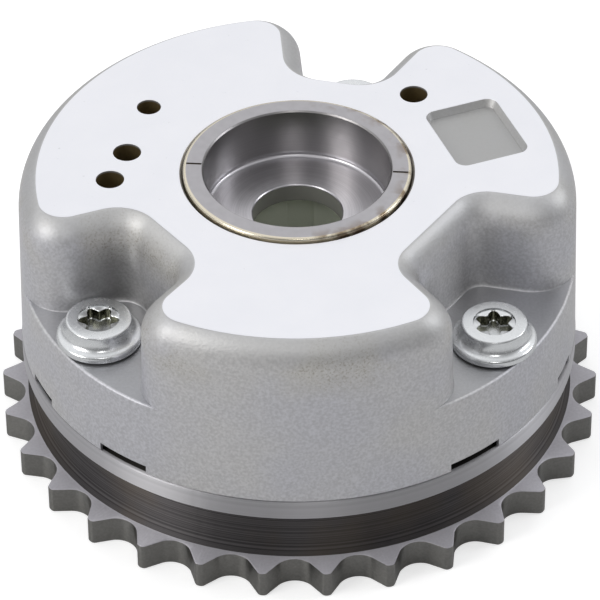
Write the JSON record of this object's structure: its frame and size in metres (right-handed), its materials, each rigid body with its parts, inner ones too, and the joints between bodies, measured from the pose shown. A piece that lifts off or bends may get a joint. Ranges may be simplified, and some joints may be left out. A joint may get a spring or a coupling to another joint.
{
  "type": "cam phaser",
  "caption": "Hydraulic vane-type camshaft phaser: cast housing bolted to a chain sprocket, with a vaned rotor that turns a short way inside it.",
  "frame": {"origin": "on the camshaft axis, in the plane of the sprocket's underside", "axes": "+Z along the camshaft axis towards the front of the engine; the picture looks along +Y, with +X to its right"},
  "size_m": [0.0962, 0.096, 0.0466],
  "materials": {
    "cast_aluminium": "die-cast, with machined front face",
    "sintered_steel": "sintered and turned",
    "turned_steel": "turned",
    "zinc_plate": "zinc plated",
    "hardened_steel": "ground",
    "spring_steel": "drawn",
    "seal_plastic": "matte"
  },
  "bodies": {
    "stator": {"housing": "cast_aluminium", "sprocket": "sintered_steel", "bolt_back": "zinc_plate", "bolt_left": "zinc_plate", "bolt_right": "zinc_plate", "lock_pin_bush": "hardened_steel", "wall_seal_back": "seal_plastic", "wall_seal_left": "seal_plastic", "wall_seal_right": "seal_plastic", "wall_seal_spring_back": "spring_steel", "wall_seal_spring_left": "spring_steel", "wall_seal_spring_right": "spring_steel"},
    "rotor": {"rotor": "turned_steel", "vane_seal_a": "seal_plastic", "vane_seal_b": "seal_plastic", "vane_seal_c": "seal_plastic", "vane_seal_spring_a": "spring_steel", "vane_seal_spring_b": "spring_steel", "vane_seal_spring_c": "spring_steel", "lock_pin_cap": "hardened_steel", "lock_pin_spring": "spring_steel"},
    "lock_pin": {"lock_pin": "hardened_steel"}
  },
  "joints": [
    {"name": "rotor_turn", "type": "hinge", "parent": "stator", "child": "rotor", "pos_m": [0, 0, 0], "axis": [0, 0, -1], "range_deg": [0, 30]},
    {"name": "lock_pin_slide", "type": "slide", "parent": "rotor", "child": "lock_pin", "axis": [0, 0, 1], "range_m": [0, 0.004], "stiffness_N_per_m": 1500, "springref_m": -0.006, "deforming": ["lock_pin_spring"]}
  ]
}
